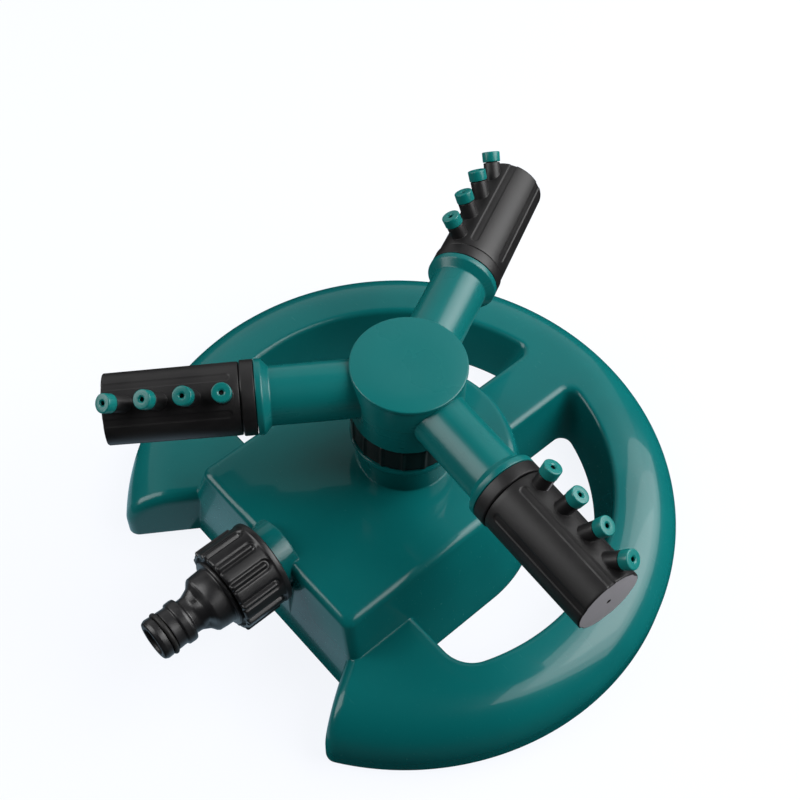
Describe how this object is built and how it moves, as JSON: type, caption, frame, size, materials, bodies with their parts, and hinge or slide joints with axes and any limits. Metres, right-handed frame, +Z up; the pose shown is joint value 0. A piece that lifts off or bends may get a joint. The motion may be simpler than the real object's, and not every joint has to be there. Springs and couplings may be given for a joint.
{
  "type": "rotating lawn sprinkler",
  "caption": "Garden sprinkler with a heavy ring-shaped ground base, a push-fit hose inlet and a spinning hub whose arms carry twistable spray barrels with angled nozzles.",
  "frame": {"origin": "middle of the whole part's footprint, on the ground", "axes": "+Z up along the rotor's spin axis, -Y towards the hose connector, +X to the right seen from the hose side"},
  "size_m": [0.22, 0.2276, 0.1066],
  "materials": {
    "teal_shell": "glossy moulded teal plastic with a fine shrink ripple",
    "teal_rotor": "satin moulded teal plastic",
    "teal_tip": "satin moulded teal plastic, small tips",
    "black_barrel": "semi-matt black moulded plastic with faint flow lines",
    "black_fitting": "glossy black moulded plastic",
    "seal_rubber": "matt black sealing rubber",
    "bearing_plastic": "natural off-white bearing plastic"
  },
  "bodies": {
    "base": {"base_shell": "teal_shell", "water_elbow": "teal_shell", "inlet_washer": "seal_rubber", "bearing_nut": "black_barrel", "lower_thrust_washer": "bearing_plastic", "upper_thrust_washer": "bearing_plastic", "spindle_o_ring": "seal_rubber"},
    "nut": {"swivel_nut": "black_fitting"},
    "nipple": {"hose_nipple": "black_fitting", "nipple_o_ring": "seal_rubber"},
    "rotor": {"rotor_hub": "teal_rotor", "rotor_cap": "teal_rotor", "rotor_spindle": "bearing_plastic", "arm_band_1": "black_barrel", "arm_band_2": "black_barrel", "arm_band_3": "black_barrel", "barrel_o_ring_1": "seal_rubber", "barrel_o_ring_2": "seal_rubber", "barrel_o_ring_3": "seal_rubber"},
    "spray_barrel_1": {"barrel_1": "black_barrel", "nozzle_cap_1_1": "teal_tip", "nozzle_cap_1_2": "teal_tip", "nozzle_cap_1_3": "teal_tip", "nozzle_cap_1_4": "teal_tip"},
    "spray_barrel_2": {"barrel_2": "black_barrel", "nozzle_cap_2_1": "teal_tip", "nozzle_cap_2_2": "teal_tip", "nozzle_cap_2_3": "teal_tip", "nozzle_cap_2_4": "teal_tip"},
    "spray_barrel_3": {"barrel_3": "black_barrel", "nozzle_cap_3_1": "teal_tip", "nozzle_cap_3_2": "teal_tip", "nozzle_cap_3_3": "teal_tip", "nozzle_cap_3_4": "teal_tip"}
  },
  "joints": [
    {"name": "rotor_spin", "type": "hinge", "parent": "base", "child": "rotor", "pos_m": [0, 0.00375, 0.0852], "axis": [0, 0, 1], "continuous": true},
    {"name": "nut_turn", "type": "hinge", "parent": "base", "child": "nut", "pos_m": [0, -0.074, 0.0364], "axis": [0, -1, 0], "continuous": true},
    {"name": "nipple_swivel", "type": "hinge", "parent": "base", "child": "nipple", "pos_m": [0, -0.09, 0.0364], "axis": [0, -1, 0], "continuous": true},
    {"name": "barrel_1_twist", "type": "hinge", "parent": "rotor", "child": "spray_barrel_1", "pos_m": [0.06979, -0.00162, 0.0852], "axis": [0.9971, -0.0767, 0], "continuous": true},
    {"name": "barrel_2_twist", "type": "hinge", "parent": "rotor", "child": "spray_barrel_2", "pos_m": [-0.03025, 0.06688, 0.0852], "axis": [-0.4321, 0.9018, 0], "continuous": true},
    {"name": "barrel_3_twist", "type": "hinge", "parent": "rotor", "child": "spray_barrel_3", "pos_m": [-0.03955, -0.05401, 0.0852], "axis": [-0.565, -0.8251, 0], "continuous": true}
  ]
}
